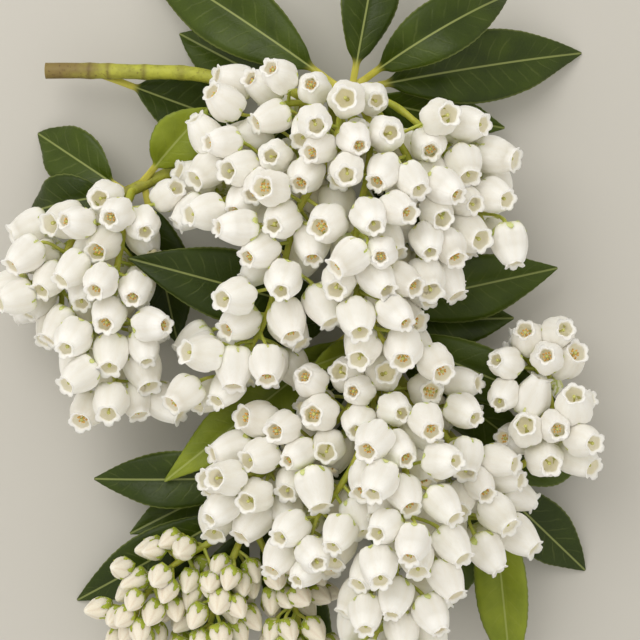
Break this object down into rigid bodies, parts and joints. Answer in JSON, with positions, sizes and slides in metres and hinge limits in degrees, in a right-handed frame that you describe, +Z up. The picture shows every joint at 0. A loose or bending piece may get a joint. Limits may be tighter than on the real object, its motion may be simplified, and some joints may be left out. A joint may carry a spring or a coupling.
{
  "type": "pieris branch",
  "caption": "Cut flowering branch of a pieris: a stem with a flat cut, side shoots, whorls of pointed leaves and hanging sprays of white urn-shaped flowers and buds.",
  "frame": {"origin": "middle of the footprint, on the ground that the branch lies on", "axes": "+Z up from the ground, +X from the cut end of the main stem towards its whorl of leaves, +Y from the lowest spray towards that whorl"},
  "size_m": [0.1078, 0.138, 0.0426],
  "materials": {
    "bark": "rough",
    "green_shoot": "satin",
    "leaf_dark_green": "waxy",
    "leaf_bright_green": "waxy",
    "petal": "soft",
    "bud": "soft"
  },
  "bodies": {
    "root": {"bud_spray_left": "bud", "bud_spray_middle": "bud", "bud_spray_right": "bud", "centre_shoot": "green_shoot", "leaf_beside_olive": "leaf_dark_green", "leaf_bright": "leaf_bright_green", "leaf_centre_left_back": "leaf_dark_green", "leaf_centre_right_back": "leaf_dark_green", "leaf_centre_under": "leaf_dark_green", "leaf_dark_tip": "leaf_dark_green", "leaf_diagonal": "leaf_dark_green", "leaf_diagonal_back": "leaf_dark_green", "leaf_front": "leaf_dark_green", "leaf_low": "leaf_dark_green", "leaf_low_back": "leaf_dark_green", "leaf_low_left": "leaf_dark_green", "leaf_low_middle": "leaf_dark_green", "leaf_lower_mid": "leaf_dark_green", "leaf_lower_under": "leaf_dark_green", "leaf_middle_right": "leaf_dark_green", "leaf_olive": "leaf_bright_green", "leaf_on_stem": "leaf_dark_green", "leaf_right": "leaf_dark_green", "leaf_right_dark": "leaf_dark_green", "leaf_shoot_back": "leaf_dark_green", "leaf_shoot_down": "leaf_dark_green", "leaf_shoot_far_left": "leaf_dark_green", "leaf_shoot_left": "leaf_dark_green", "leaf_shoot_low_right": "leaf_dark_green", "leaf_shoot_right": "leaf_dark_green", "leaf_shoot_under": "leaf_dark_green", "leaf_shoot_up": "leaf_bright_green", "leaf_top": "leaf_dark_green", "leaf_top_left": "leaf_dark_green", "leaf_top_right": "leaf_dark_green", "leaf_under_left": "leaf_dark_green", "leaf_under_right": "leaf_dark_green", "leaf_upper_back": "leaf_dark_green", "leaf_upper_right": "leaf_dark_green", "leaf_young": "leaf_bright_green", "left_shoot": "green_shoot", "lower_left_shoot": "green_shoot", "lower_right_shoot": "green_shoot", "main_stem": "bark", "spray_centre": "petal", "spray_centre_left": "petal", "spray_centre_right": "petal", "spray_far_left": "petal", "spray_far_right": "petal", "spray_left": "petal", "spray_left_edge": "petal", "spray_lower_left": "petal", "spray_lower_middle": "petal", "spray_lower_right": "petal", "spray_lowest": "petal", "spray_right": "petal", "spray_short": "petal", "spray_upper_left": "petal"}
  },
  "joints": []
}
